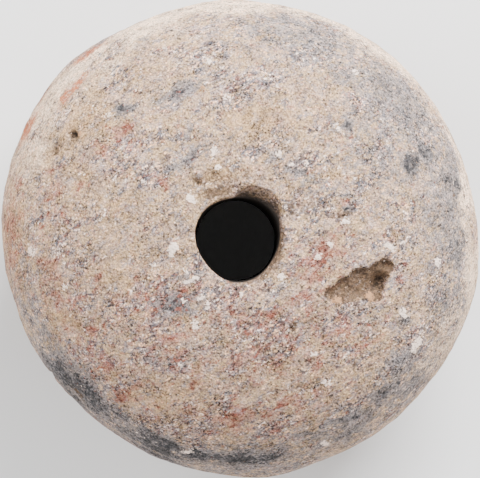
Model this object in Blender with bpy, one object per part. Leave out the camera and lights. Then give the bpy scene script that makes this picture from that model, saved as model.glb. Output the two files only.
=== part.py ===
"""Clay spindle whorl: one lump of coarse, low-fired clay, shaped by hand into a flattened
ball and pierced from top to bottom for the spindle.

The whorl lies on its underside with its hole upright. Z is up, the origin is the point on the
hole's axis that is level with the underside, and every length is in metres.
"""

import math

import bmesh
import bpy
from mathutils import Matrix, Vector

# The body: a turned superellipse, cut off flat where it lies. It sits a little off the hole.
BODY_DIAMETER = 0.0398
BODY_HEIGHT = 0.0250
BELLY_HEIGHT = 0.0120
BASE_DIAMETER = 0.0170
FULLNESS = 2.4  # exponent of the superellipse: 2 is an ellipse, more is boxier
BODY_OFFSET_X = 0.00063
BODY_OFFSET_Y = 0.00027

# The hole: pierced from both sides, so it is narrowest at a waist inside.
HOLE_TOP_DIAMETER = 0.0070
HOLE_WAIST_DIAMETER = 0.0067
HOLE_BASE_DIAMETER = 0.0071
WAIST_HEIGHT = 0.0110
LIP_RADIUS = 0.0003  # how far each mouth's edge is worn round
FLARE = 0.00045  # how far the upper mouth is worn outwards on one side
FLARE_AZIMUTH = -5.0
FLARE_DEPTH = 0.0030

# Where the wet clay swelled or was pressed in by the fingers. Each row has the azimuth and the
# height angle of its middle as seen from the belly's centre, its reach, both in degrees, and
# how far it stands out of the turned form or lies under it.
SWELLS_AND_PRESSES = (
    (149, -6, 30, 0.00072),
    (134, -8, 9, 0.00038),
    (174, 0, 15, 0.00014),
    (277, 0, 10, 0.00034),
    (348, 2, 5, 0.00008),
    (97, 4, 7, 0.00014),
    (25, 2, 26, -0.00044),
    (222, 0, 17, -0.00026),
    (241, 8, 11, -0.00020),
    (294, 0, 9, -0.00020),
    (321, -4, 7, -0.00028),
    (80, 14, 24, -0.00018),
    (196, 40, 20, -0.00022),
    (318, 40, 22, -0.00026),
    (84, 58, 16, -0.00020),
    (15, 60, 18, 0.00014),
    (255, 62, 18, 0.00012),
    (120, -44, 24, -0.00030),
    (265, -40, 22, -0.00026),
    (10, -48, 20, 0.00016),
)
PRESS_FADE_HEIGHT = 0.0040  # presses die out within this height of the underside
PRESS_FADE_REACH = 0.0030  # and within this distance of the hole

# The gouge in the top face, right of the hole and a little towards the front.
GOUGE_DISTANCE = 0.0104  # from the hole's axis to the middle of the gouge
GOUGE_AZIMUTH = -19.6
GOUGE_DIRECTION = 25.0
GOUGE_LENGTH = 0.0058
GOUGE_WIDTH = 0.0023
GOUGE_DEPTH = 0.0011
GOUGE_TAPER = 0.35  # how much wider and deeper the far end is than the middle, as a share

# The chip out of the hole's upper mouth, on its far side.
CHIP_AZIMUTH = 68.0
CHIP_LENGTH = 0.0038
CHIP_WIDTH = 0.0011  # outwards from the mouth's edge
CHIP_DEPTH = 0.0013

# How finely the turned form is faceted.
SEGMENTS = 84
BASE_RINGS = 3
LOWER_RINGS = 11
UPPER_RINGS = 16
LIP_RINGS = 3
WALL_RINGS_ABOVE_WAIST = 5
WALL_RINGS_BELOW_WAIST = 3
CUTTER_SUBDIVISIONS = 3
PLACING_ROUNDS = 4

CLAY_COLOUR = (0.46, 0.37, 0.32, 1.0)
CLAY_ROUGHNESS = 0.92

TOP_MOUTH_RADIUS = HOLE_TOP_DIAMETER / 2 + LIP_RADIUS
BASE_MOUTH_RADIUS = HOLE_BASE_DIAMETER / 2 + LIP_RADIUS


def clear_scene():
    for obj in list(bpy.data.objects):
        bpy.data.objects.remove(obj)


def superellipse_share(radius):
    """Height of the superellipse at this radius, as a share of its height at the axis."""
    share = min(radius / (BODY_DIAMETER / 2), 1.0)
    return (1 - share**FULLNESS) ** (1 / FULLNESS)


def dome_rise(height, edge_radius):
    """How tall a dome must be at the axis to stand this high at edge_radius."""
    return height / superellipse_share(edge_radius)


def crown_height(radius):
    """Height of the turned form's top face at this distance from the axis."""
    rise = dome_rise(BODY_HEIGHT - BELLY_HEIGHT, TOP_MOUTH_RADIUS)
    return BELLY_HEIGHT + rise * superellipse_share(radius)


def dome_points(height, edge_radius, rings):
    """Points (radius, height over the belly) from the belly to edge_radius, evenly in angle."""
    rise = dome_rise(height, edge_radius)
    edge_angle = math.acos((edge_radius / (BODY_DIAMETER / 2)) ** (FULLNESS / 2))
    points = []
    for ring in range(rings + 1):
        angle = edge_angle * ring / rings
        radius = BODY_DIAMETER / 2 * math.cos(angle) ** (2 / FULLNESS)
        points.append((radius, rise * math.sin(angle) ** (2 / FULLNESS)))
    return points


def lip_points(hole_radius, face_height, inwards):
    """The worn edge of a mouth, a quarter circle from the face into the hole's wall."""
    points = []
    for ring in range(1, LIP_RINGS + 1):
        angle = math.pi / 2 * ring / LIP_RINGS
        radius = hole_radius + LIP_RADIUS * (1 - math.sin(angle))
        points.append((radius, face_height + inwards * LIP_RADIUS * (1 - math.cos(angle))))
    return points


def wall_points():
    """The hole's wall: two straight tapers that meet at the waist, with rings closer on top."""
    waist_radius = HOLE_WAIST_DIAMETER / 2
    top_rise = BODY_HEIGHT - LIP_RADIUS - WAIST_HEIGHT
    points = []
    for ring in range(1, WALL_RINGS_ABOVE_WAIST + 1):
        share = 1 - (ring / WALL_RINGS_ABOVE_WAIST) ** 1.5
        radius = waist_radius + (HOLE_TOP_DIAMETER / 2 - waist_radius) * share
        points.append((radius, WAIST_HEIGHT + top_rise * share))
    for ring in range(1, WALL_RINGS_BELOW_WAIST):
        share = ring / WALL_RINGS_BELOW_WAIST
        radius = waist_radius + (HOLE_BASE_DIAMETER / 2 - waist_radius) * share
        points.append((radius, WAIST_HEIGHT - (WAIST_HEIGHT - LIP_RADIUS) * share))
    return points


def section_points():
    """The closed half section: out along the base, over the body, and down the hole's wall."""
    base_radius = BASE_DIAMETER / 2
    points = []
    for ring in range(BASE_RINGS):
        share = ring / BASE_RINGS
        points.append((BASE_MOUTH_RADIUS + (base_radius - BASE_MOUTH_RADIUS) * share, 0.0))
    lower = dome_points(BELLY_HEIGHT, base_radius, LOWER_RINGS)
    points += [(radius, BELLY_HEIGHT - rise) for radius, rise in reversed(lower)]
    upper = dome_points(BODY_HEIGHT - BELLY_HEIGHT, TOP_MOUTH_RADIUS, UPPER_RINGS)
    points += [(radius, BELLY_HEIGHT + rise) for radius, rise in upper[1:]]
    points += lip_points(HOLE_TOP_DIAMETER / 2, BODY_HEIGHT, -1)
    points += wall_points()
    points += reversed(lip_points(HOLE_BASE_DIAMETER / 2, 0.0, 1))
    return points


def smooth_step(value):
    """0 below 0, 1 above 1, and an even S-curve between."""
    share = min(max(value, 0.0), 1.0)
    return share * share * (3 - 2 * share)


def direction_of(azimuth, height_angle):
    """Unit vector from the belly's centre, from two angles in degrees."""
    around, up = math.radians(azimuth), math.radians(height_angle)
    return Vector((math.cos(around) * math.cos(up), math.sin(around) * math.cos(up), math.sin(up)))


def flare(point):
    """How far the wear at the upper mouth moves this point, most on the worn side."""
    radius = math.hypot(point.x, point.y)
    turn = math.atan2(point.y, point.x) - math.radians(FLARE_AZIMUTH)
    around = ((1 + math.cos(turn)) / 2) ** 2
    down = math.exp(-(((BODY_HEIGHT - point.z) / FLARE_DEPTH) ** 2))
    outside = 1 - smooth_step((radius - TOP_MOUTH_RADIUS) / PRESS_FADE_REACH)
    return Vector((point.x, point.y, 0)) / radius * (FLARE * around * down * outside)


def press(point):
    """The point after the shift off the hole, the wear of the mouth, and the hand's presses.

    Each press is a bell curve of the angle from its middle, seen from the belly's centre.
    """
    from_centre = point - Vector((0, 0, BELLY_HEIGHT))
    direction = from_centre.normalized()
    shift = 0.0
    for azimuth, height_angle, reach, stands_out in SWELLS_AND_PRESSES:
        cosine = max(-1.0, min(1.0, direction.dot(direction_of(azimuth, height_angle))))
        shift += stands_out * math.exp(-((math.degrees(math.acos(cosine)) / reach) ** 2))
    off_hole = math.hypot(point.x, point.y) - max(TOP_MOUTH_RADIUS, BASE_MOUTH_RADIUS)
    off_share = smooth_step(off_hole / PRESS_FADE_REACH)
    fade = smooth_step(point.z / PRESS_FADE_HEIGHT) * off_share
    offset = Vector((BODY_OFFSET_X, BODY_OFFSET_Y, 0)) * off_share
    return point + direction * shift * fade + offset + flare(point)


def clay():
    material = bpy.data.materials.new("fired_clay")
    material.use_nodes = True
    shader = material.node_tree.nodes["Principled BSDF"]
    shader.inputs["Base Color"].default_value = CLAY_COLOUR
    shader.inputs["Roughness"].default_value = CLAY_ROUGHNESS
    shader.inputs["Metallic"].default_value = 0.0
    return material


def object_from(name, mesh_builder):
    """A new object in the scene with the bmesh's faces, all pointing outwards."""
    bmesh.ops.recalc_face_normals(mesh_builder, faces=mesh_builder.faces)
    mesh = bpy.data.meshes.new(name)
    mesh_builder.to_mesh(mesh)
    mesh_builder.free()
    obj = bpy.data.objects.new(name, mesh)
    bpy.context.scene.collection.objects.link(obj)
    return obj


def make_body():
    """The section spun round the hole's axis, then pressed by hand."""
    builder = bmesh.new()
    section = [builder.verts.new((radius, 0.0, height)) for radius, height in section_points()]
    edges = [builder.edges.new(pair) for pair in zip(section, section[1:] + section[:1])]
    bmesh.ops.spin(
        builder,
        geom=section + edges,
        cent=(0, 0, 0),
        axis=(0, 0, 1),
        angle=2 * math.pi,
        steps=SEGMENTS,
        use_merge=True,
    )
    for vertex in builder.verts:
        vertex.co = press(vertex.co)
    return object_from("whorl", builder)


def make_cutter(name, size, taper, place):
    """A hidden egg that the body is cut with. Its end along its own X is fuller by taper."""
    builder = bmesh.new()
    bmesh.ops.create_icosphere(builder, subdivisions=CUTTER_SUBDIVISIONS, radius=1.0)
    length, width, depth = size
    for vertex in builder.verts:
        x, y, z = vertex.co
        fuller = 1 + taper * x
        vertex.co = Vector((x * length / 2, y * width / 2 * fuller, z * depth * fuller))
    bmesh.ops.transform(builder, matrix=place, verts=builder.verts)
    cutter = object_from(name, builder)
    cutter.hide_render = True
    cutter.display_type = "WIRE"
    return cutter


def top_point(azimuth, distance):
    """The point of the pressed top face that lies this way and this far from the hole's axis."""
    around = math.radians(azimuth)
    wanted = Vector((distance * math.cos(around), distance * math.sin(around), 0))
    turned = wanted.copy()
    for _ in range(PLACING_ROUNDS):
        turned.z = crown_height(math.hypot(turned.x, turned.y))
        pressed = press(turned)
        turned += wanted - pressed
    return Vector((wanted.x, wanted.y, pressed.z))


def top_slope(distance):
    """Angle of the top face below level at this distance from the axis."""
    step = BODY_DIAMETER / 1000
    fall = crown_height(distance - step) - crown_height(distance + step)
    return math.atan2(fall, 2 * step)


def gouge_place():
    """Turns the cutter along the gouge and lays it in the slope of the top face."""
    around = math.radians(GOUGE_AZIMUTH)
    lean_axis = Vector((-math.sin(around), math.cos(around), 0))
    lean = Matrix.Rotation(top_slope(GOUGE_DISTANCE), 4, lean_axis)
    turn = Matrix.Rotation(math.radians(GOUGE_DIRECTION), 4, "Z")
    return Matrix.Translation(top_point(GOUGE_AZIMUTH, GOUGE_DISTANCE)) @ lean @ turn


def chip_place():
    """Lays the cutter along the mouth's edge, its long side square to the radius."""
    turn = Matrix.Rotation(math.radians(CHIP_AZIMUTH + 90), 4, "Z")
    return Matrix.Translation(top_point(CHIP_AZIMUTH, HOLE_TOP_DIAMETER / 2)) @ turn


def cut(body, cutter):
    modifier = body.modifiers.new(cutter.name, "BOOLEAN")
    modifier.operation = "DIFFERENCE"
    modifier.object = cutter


def shade(body):
    body.data.shade_smooth()
    body.data.set_sharp_from_angle(angle=math.radians(40))


def make_whorl():
    body = make_body()
    body.data.materials.append(clay())
    shade(body)
    gouge_size = (GOUGE_LENGTH, GOUGE_WIDTH, GOUGE_DEPTH)
    cut(body, make_cutter("gouge_cutter", gouge_size, GOUGE_TAPER, gouge_place()))
    chip_size = (CHIP_LENGTH, 2 * CHIP_WIDTH, CHIP_DEPTH)
    cut(body, make_cutter("chip_cutter", chip_size, 0.0, chip_place()))
    return body


clear_scene()
make_whorl()
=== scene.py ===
"""Clay spindle whorl, dressed: one closed skin of coarse fired clay that stands in for the solid.

The skin is a grid round the hole's axis. It repeats the solid's turned and pressed form, and
adds the gouge, the chipped mouth, pits, dents, scrape marks and the lumpy surface of the clay.
Z is up, the origin is on the hole's axis level with the underside, lengths are in metres unless
a name says otherwise.
"""

import math

import bpy
import numpy as np
from mathutils import Matrix, Vector


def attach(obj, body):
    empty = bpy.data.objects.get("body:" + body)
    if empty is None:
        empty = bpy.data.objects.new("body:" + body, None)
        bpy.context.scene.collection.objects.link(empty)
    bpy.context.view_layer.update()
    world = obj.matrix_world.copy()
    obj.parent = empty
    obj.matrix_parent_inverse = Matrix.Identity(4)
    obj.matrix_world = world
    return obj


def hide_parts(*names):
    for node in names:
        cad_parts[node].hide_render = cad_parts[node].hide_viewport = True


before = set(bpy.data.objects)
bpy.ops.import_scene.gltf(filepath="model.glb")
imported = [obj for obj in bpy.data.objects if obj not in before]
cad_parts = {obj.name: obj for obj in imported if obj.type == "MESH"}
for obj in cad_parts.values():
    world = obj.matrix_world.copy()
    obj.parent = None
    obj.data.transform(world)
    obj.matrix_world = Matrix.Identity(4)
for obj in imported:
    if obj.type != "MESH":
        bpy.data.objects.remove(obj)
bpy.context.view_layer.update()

MM = 0.001

# The turned form, as in the solid.
BODY_RADIUS = 0.0199
BODY_HEIGHT = 0.0250
BELLY_HEIGHT = 0.0120
BASE_RADIUS = 0.0085
FULLNESS = 2.4
BODY_OFFSET = np.array([0.00063, 0.00027, 0.0])
RIM_SHARE = 0.28  # marks at the edge of the view are this share of the way up to the crown

# The hole: the solid's, with a worn and wavy mouth that only the skin shows.
TOP_HOLE_RADIUS = 0.00344
WAIST_HOLE_RADIUS = 0.00333
BASE_HOLE_RADIUS = 0.00355
WAIST_HEIGHT = 0.0110
LIP_RADIUS = 0.0003
CRISP_LIP = 0.00013  # the mouth's worn edge is narrow on the left and wide on the right
WORN_LIP = 0.00075
LIP_INWARDS = 0.02  # the share of the worn edge that is inside the hole's outline
LIP_STEEPNESS = 1.5
# painted shade: the width of the darkening on the mouth's worn edge
LIP_DIRT_WIDTH = 0.0010
WORN_AZIMUTH = -12.0
HOLE_WAVES = ((1, 0.00016, 93), (3, 0.000125, 102))  # waves round the mouth, size, phase
WAVE_DEPTH = 0.0060  # how far down the wall the waves have mostly died out
FADE_REACH = 0.0030  # presses die out within this distance of the hole
FADE_HEIGHT = 0.0040  # and within this height of the underside

# Swells and presses of the maker's fingers, as in the solid: azimuth, height angle and reach
# in degrees as seen from the belly's centre, then how far the clay stands out.
SWELLS_AND_PRESSES = (
    (149, -6, 30, 0.00072),
    (134, -8, 9, 0.00038),
    (174, 0, 15, 0.00014),
    (277, 0, 10, 0.00034),
    (348, 2, 5, 0.00008),
    (97, 4, 7, 0.00014),
    (25, 2, 26, -0.00044),
    (222, 0, 17, -0.00026),
    (241, 8, 11, -0.00020),
    (294, 0, 9, -0.00020),
    (321, -4, 7, -0.00028),
    (80, 14, 24, -0.00018),
    (196, 40, 20, -0.00022),
    (318, 40, 22, -0.00026),
    (84, 58, 16, -0.00020),
    (15, 60, 18, 0.00014),
    (255, 62, 18, 0.00012),
    (120, -44, 24, -0.00030),
    (265, -40, 22, -0.00026),
    (10, -48, 20, 0.00016),
)

# The gouge, where the solid has it: (x mm, y mm, length mm, width mm, direction) of the hollows
# that run together in it, from left to right.
GOUGE_HOLLOWS = (
    (8.05, -4.45, 2.1, 1.7, 15),
    (8.95, -4.05, 2.8, 2.3, 28),
    (10.20, -3.55, 3.0, 2.7, 20),
    (11.35, -3.20, 3.0, 2.3, 70),
    (12.10, -2.20, 1.5, 1.5, 50),
    (11.40, -4.55, 1.3, 1.4, 60),
)
GOUGE_LEFT = 7.15  # the x of its left end, in mm
GOUGE_LENGTH = 5.6
GOUGE_DEPTH = 0.0011
GOUGE_POCKET = (11.95, -3.62)

# Shares of GOUGE_DEPTH: the step at its edge, the sink to the right, the rough floor, the pocket.
GOUGE_STEP = 0.30
GOUGE_SINK = 0.34
GOUGE_ROUGH = 0.07
POCKET_SINK = 0.60

# The chip, where the solid has it: steep at its left end, and fading to the right.
CHIP_LEFT = 98.0
CHIP_LEFT_SPAN = 22.0
CHIP_RIGHT = 14.0
CHIP_RIGHT_SPAN = 44.0
CHIP_WIDTH = 0.00098
CHIP_DEPTH = 0.0013
CHIP_DIRT = 0.50  # how strong the umber is in it, and the dark at its foot
# painted shade: how dark the chip grows towards its foot
CHIP_SHADE = 0.46

# The clay's own unevenness: size, height, layers and seed of each noise.
LUMPS = (
    (0.0045, 0.00009, 2, 10),
    (0.0014, 0.000045, 2, 20),
    (0.00045, 0.000022, 2, 30),
)
SCRAPE_DEPTH = 0.00005
SCRAPE_START = 0.0155  # scrapes show outside this distance from the axis
FLECK_HEIGHT = 0.00006
GRAIN_HEIGHT = 0.00022

# The grid: columns round the axis, and rows along each stretch of the section.
COLUMNS = 450
BASE_ROWS = 8
LOWER_ROWS = 40
UPPER_ROWS = 134
LIP_ROWS = 8
WALL_ROWS = 22

# Each mark below is (x mm, y mm, length mm, width mm, direction in degrees, strength), seen
# from above with the hole's axis at 0, 0.
PITS = (
    (-13.4, 8.7, 0.75, 0.70, 0, 0.40),
    (-14.8, 7.6, 1.30, 0.55, 50, 0.20),
    (-6.2, 6.5, 0.75, 0.60, 0, 0.12),
    (-3.3, 4.7, 0.80, 0.50, -35, 0.30),
    (-1.8, 5.5, 1.10, 0.35, -20, 0.22),
    (-9.2, 12.3, 0.40, 0.30, 0, 0.16),
    (-10.1, 14.4, 0.28, 0.28, 0, 0.20),
    (4.2, 14.3, 0.45, 0.35, 0, 0.16),
    (0.9, 11.7, 0.26, 0.26, 0, 0.16),
    (8.6, 2.0, 1.10, 0.32, 8, 0.20),
    (15.3, 2.4, 0.70, 0.45, 20, 0.16),
    (4.4, -7.1, 0.70, 0.42, 65, 0.28),
    (5.6, -6.5, 1.50, 0.30, 15, 0.16),
    (9.6, -10.3, 0.70, 0.26, 70, 0.22),
    (12.0, -7.2, 0.28, 0.28, 0, 0.22),
    (10.6, -6.9, 0.26, 0.26, 0, 0.16),
    (-5.8, -13.2, 0.30, 0.26, 0, 0.14),
    (-10.6, -1.6, 1.20, 0.40, 10, 0.06),
)
DENTS = (
    (-13.3, -12.9, 2.2, 0.70, -50, 0.26),
    (-16.2, 11.6, 1.6, 0.70, 55, 0.14),
    (-15.6, -11.2, 0.8, 0.60, -50, 0.20),
    (6.6, -16.3, 2.6, 0.50, 22, 0.14),
    (12.6, -13.6, 3.6, 0.60, 40, 0.10),
    (15.6, 9.6, 3.0, 0.90, -55, 0.10),
    (-2.5, 16.9, 2.4, 0.60, 10, 0.08),
)
ROSE_PATCHES = (
    (-15.0, 2.0, 6.0, 4.0, 80, 0.35),
    (-18.7, 0.5, 2.8, 13.0, 0, 0.60),
    (-14.4, -4.0, 7.0, 5.0, -70, 0.44),
    (-11.8, -9.4, 8.0, 5.0, -60, 0.48),
    (-8.0, -13.0, 7.0, 4.0, -35, 0.42),
    (-0.5, -14.6, 10.0, 4.0, 0, 0.46),
    (5.5, -13.2, 7.0, 4.0, 20, 0.42),
    (-6.0, -5.4, 8.0, 5.5, 0, 0.52),
    (-5.0, -10.0, 8.0, 4.5, 0, 0.50),
    (2.6, -9.4, 10.0, 5.5, 0, 0.46),
    (0.8, -6.4, 9.0, 4.5, 0, 0.48),
    (7.6, -7.4, 8.0, 4.5, 20, 0.42),
    (6.6, -2.4, 6.0, 5.0, 45, 0.55),
    (10.4, -7.8, 6.0, 3.5, 0, 0.35),
    (-9.6, 8.4, 6.0, 3.5, 35, 0.35),
    (6.7, -1.3, 4.4, 1.9, 32, 1.00),
    (6.2, -3.2, 2.6, 2.2, 60, 0.80),
    (5.2, -4.6, 3.2, 1.5, 12, 0.75),
    (2.9, -5.9, 1.5, 1.3, 30, 1.00),
    (5.9, -5.6, 0.8, 0.9, 0, 0.90),
    (1.5, -9.8, 1.9, 1.2, 0, 0.55),
    (6.3, -10.3, 1.8, 1.3, 0, 0.60),
    (3.9, -13.4, 2.0, 1.3, 20, 0.80),
    (0.3, -14.4, 3.4, 2.0, 0, 0.78),
    (2.8, -15.6, 1.6, 0.7, 0, 0.80),
    (10.1, -8.5, 1.8, 0.8, 0, 0.65),
    (13.3, -2.4, 1.4, 1.0, 60, 0.60),
    (13.6, 3.0, 0.9, 0.8, 0, 0.60),
    (8.4, 8.0, 1.3, 0.7, 0, 0.55),
    (8.8, 3.0, 0.9, 0.7, 0, 0.55),
    (-4.4, -4.6, 3.0, 1.6, -10, 1.00),
    (-6.2, -5.3, 1.2, 1.0, 0, 0.90),
    (-5.4, -8.0, 2.2, 1.1, 15, 0.90),
    (-2.3, -6.3, 0.7, 0.6, 0, 1.00),
    (-3.3, -11.7, 1.8, 0.9, 30, 0.85),
    (-10.9, -9.9, 3.6, 1.7, -65, 0.85),
    (-9.4, -12.8, 2.2, 1.1, -35, 0.85),
    (-12.0, -7.3, 1.6, 1.2, -40, 0.80),
    (-11.5, -3.2, 2.2, 0.9, 80, 0.80),
    (-15.1, -1.7, 2.6, 1.4, 15, 0.70),
    (-14.8, -4.9, 2.4, 2.0, -70, 0.75),
    (-15.3, 5.9, 1.4, 0.7, 0, 0.85),
    (-14.9, 4.1, 2.6, 1.6, 0, 0.55),
    (-17.8, 4.5, 2.6, 0.5, 78, 0.80),
    (-13.0, 4.4, 2.6, 1.6, 20, 0.45),
    (-11.3, 7.4, 2.2, 1.6, 30, 0.60),
    (-9.4, 9.0, 1.9, 0.8, 35, 0.85),
    (-6.0, 4.7, 1.2, 1.0, -70, 1.00),
    (-5.3, -1.6, 0.9, 0.5, 40, 0.90),
    (-4.4, 12.1, 1.3, 0.5, 20, 0.80),
    (-4.0, 6.5, 3.0, 0.5, 32, 0.70),
)
# Slate-grey patches; the strong ones along the lower left rim, away from the key light, are partly
# painted shade
SLATE_AND_SHADE_PATCHES = (
    (17.8, 4.0, 17.0, 6.4, 94, 0.58),
    (13.6, 12.0, 15.0, 8.0, -48, 0.62),
    (6.0, 16.8, 15.0, 5.4, -14, 0.52),
    (12.0, 7.0, 9.0, 7.0, -40, 0.34),
    (18.0, -5.2, 9.0, 3.6, 75, 0.62),
    (14.6, -11.4, 9.0, 4.0, 50, 0.55),
    (8.6, -15.8, 9.0, 3.4, 27, 0.62),
    (0.8, -18.4, 12.0, 3.0, 3, 0.90),
    (-7.4, -17.4, 9.0, 3.2, -24, 1.10),
    (-13.7, -12.4, 11.0, 4.6, -46, 1.05),
    (-17.2, -5.6, 9.0, 2.4, -72, 0.55),
    (14.3, 6.2, 2.0, 1.9, 0, 1.40),
    (15.8, 7.3, 2.6, 1.9, -30, 1.12),
    (17.2, 5.3, 2.2, 1.3, -70, 0.90),
    (9.3, 13.6, 7.0, 2.2, -10, 0.50),
    (13.3, 11.7, 4.0, 2.6, -50, 0.50),
    (10.5, 9.7, 3.2, 2.6, 0, 0.42),
    (8.9, 9.3, 1.3, 1.2, 0, 0.95),
    (17.5, 3.0, 6.5, 3.0, 88, 0.64),
    (15.6, 2.3, 1.2, 1.0, 0, 0.60),
    (4.6, 16.7, 3.4, 1.0, -12, 0.66),
    (8.3, 16.4, 2.4, 0.9, -25, 0.50),
    (-4.5, 12.2, 3.8, 1.2, 20, 0.85),
    (-4.0, 6.7, 4.2, 1.0, 31, 0.85),
    (-4.0, 8.7, 2.4, 0.8, 10, 0.45),
    (-1.3, 14.0, 2.8, 1.4, 15, 0.35),
    (-9.1, 10.7, 1.9, 1.0, 10, 1.05),
    (-7.7, 16.6, 0.8, 0.6, 40, 0.80),
    (5.2, 5.4, 3.4, 1.6, -25, 0.60),
    (3.0, 7.2, 3.8, 1.4, 10, 0.40),
    (17.4, -5.6, 3.2, 2.8, 80, 0.90),
    (16.3, -7.6, 1.4, 1.8, 80, 0.60),
    (18.0, -1.0, 1.9, 4.6, 0, 0.78),
    (13.8, -6.6, 1.2, 1.0, 0, 0.80),
    (13.3, -10.2, 3.8, 3.0, 60, 0.66),
    (12.3, -12.5, 3.8, 1.7, 45, 0.75),
    (9.2, -14.7, 4.9, 1.5, 20, 0.95),
    (5.6, -15.9, 2.0, 0.9, 10, 0.60),
    (1.9, -18.1, 5.6, 1.4, 8, 1.10),
    (-0.9, -18.4, 3.6, 1.1, -3, 0.85),
    (-3.4, -17.9, 3.4, 1.3, -12, 1.20),
    (-6.4, -16.7, 5.6, 1.7, -22, 1.25),
    (-9.7, -14.5, 3.8, 1.5, -35, 0.70),
    (-12.0, -12.9, 3.6, 1.5, -42, 1.15),
    (-14.7, -11.0, 3.6, 2.2, -58, 1.50),
    (-14.8, -8.9, 2.2, 1.1, -10, 0.60),
    (-15.8, -7.5, 1.2, 0.9, -50, 0.70),
    (-16.8, -4.5, 5.0, 1.1, -72, 0.40),
    (-4.0, -3.1, 2.8, 0.9, 15, 0.35),
    (-5.0, -5.2, 3.4, 1.7, 15, 0.95),
    (-6.6, -5.4, 1.6, 0.8, -20, 0.60),
    (-5.2, -10.2, 3.0, 1.6, 10, 0.40),
    (8.6, 3.6, 0.9, 0.5, 0, 0.80),
    (9.1, 2.4, 0.5, 0.4, 0, 0.90),
    (10.8, -6.4, 2.4, 1.4, 30, 0.35),
)
OCHRE_PATCHES = (
    (-12.0, 3.0, 13.0, 9.0, 0, 0.42),
    (-12.6, 9.6, 8.0, 5.5, 45, 0.60),
    (2.0, 9.4, 13.0, 5.0, 0, 0.50),
    (-6.0, -12.6, 9.0, 4.0, -10, 0.45),
    (7.4, -10.6, 8.0, 5.0, 20, 0.35),
    (-9.6, -3.0, 9.0, 5.0, 0, 0.40),
    (-13.0, 9.0, 4.6, 3.2, 40, 0.90),
    (-15.2, 7.2, 1.8, 1.0, 55, 0.80),
    (-1.9, 5.6, 3.2, 1.4, -10, 0.85),
    (1.6, 9.6, 8.0, 2.6, -4, 0.75),
    (1.6, 6.4, 3.8, 0.8, 15, 0.60),
    (8.0, 5.2, 4.0, 1.2, 4, 0.55),
    (-8.2, 13.6, 6.0, 3.0, 25, 0.40),
    (3.2, -10.8, 5.0, 2.4, 0, 0.45),
    (-6.6, -12.9, 4.0, 2.2, 10, 0.60),
    (-9.6, 1.0, 5.0, 3.4, 0, 0.35),
    (-9.2, -3.9, 5.0, 2.0, -5, 0.50),
    (11.8, 0.8, 4.0, 2.6, 20, 0.35),
    (-14.2, -6.3, 3.6, 1.6, -20, 0.70),
    (-17.4, -1.4, 1.6, 4.4, 0, 0.50),
    (-18.6, 0.5, 2.6, 11.0, 0, 0.85),
    (11.4, -7.9, 1.8, 1.4, 0, 0.60),
)
BUSY_PATCHES = (
    (-4.0, -4.5, 9.0, 4.5, -10, 1.0),
    (0.5, -8.0, 15.0, 6.0, 0, 0.7),
    (-5.0, 9.5, 14.0, 4.0, 30, 0.8),
    (-13.0, -6.0, 8.0, 8.0, 0, 0.6),
    (9.0, -9.0, 9.0, 6.0, 30, 0.6),
    (4.5, 7.0, 9.0, 3.0, -15, 0.6),
    (12.0, 10.0, 13.0, 7.0, -45, 0.5),
    (4.0, 15.5, 12.0, 5.0, -10, 0.5),
    (-1.0, -13.5, 12.0, 4.5, 0, 0.5),
)
ORANGE_STREAKS = (
    (-13.6, 12.4, 4.4, 0.75, 53, 1.25),
    (-17.7, 9.3, 3.6, 1.20, 62, 1.60),
    (-16.0, 12.7, 3.0, 0.70, 50, 1.20),
    (-12.9, 15.4, 5.0, 0.90, 31, 1.35),
    (-16.4, 11.1, 0.7, 0.40, 60, 0.80),
    (-10.7, 8.0, 0.7, 0.40, 40, 0.55),
)
UMBER_STAINS = (
    (-1.4, 5.2, 7.5, 2.8, 0, 0.50),
    (-5.0, 1.4, 3.2, 6.0, 0, 0.37),
    (5.2, 3.2, 4.8, 2.8, -60, 0.40),
    (0.5, -8.2, 9.0, 4.0, 0, 0.36),
    (-4.4, -3.0, 3.0, 2.4, 0, 0.30),
    (-1.6, 4.0, 3.4, 1.3, 12, 0.95),
    (-3.2, 4.9, 2.6, 1.6, -40, 0.60),
    (4.4, 2.6, 2.6, 1.2, -60, 0.55),
    (-1.8, 5.5, 1.5, 0.7, -20, 0.70),
    (4.3, 3.2, 2.2, 0.9, -55, 0.45),
    (1.6, 5.2, 2.6, 1.0, -12, 0.50),
    (-6.2, 6.5, 1.0, 0.9, 0, 0.45),
    (-13.4, 8.7, 1.00, 0.95, 0, 1.00),
    (-14.8, 7.6, 1.7, 0.8, 50, 0.70),
    (-9.2, 12.3, 0.7, 0.6, 0, 0.60),
    (-11.7, 10.4, 0.9, 0.7, 0, 0.55),
    (4.2, 14.3, 0.6, 0.5, 0, 0.70),
    (0.9, 10.9, 1.8, 1.0, 0, 0.35),
    (8.6, 2.0, 1.5, 0.6, 8, 0.70),
    (17.9, 3.8, 0.6, 0.5, 0, 0.70),
    (4.6, -7.0, 1.0, 0.7, 40, 0.75),
    (5.7, -6.5, 1.9, 0.6, 15, 0.60),
    (9.6, -10.3, 0.8, 0.4, 70, 0.60),
    (-13.3, -12.8, 2.0, 0.7, -50, 0.75),
    (-10.6, -4.9, 1.5, 0.4, -15, 0.55),
    (-6.0, -0.9, 0.9, 1.2, 0, 0.40),
    (-4.7, -15.4, 1.5, 0.9, 30, 0.45),
    (-15.8, -12.2, 1.0, 0.7, -50, 0.60),
    (2.6, -16.9, 2.6, 0.7, 8, 0.45),
    (-17.2, 1.2, 1.0, 1.6, 0, 0.40),
)
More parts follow.
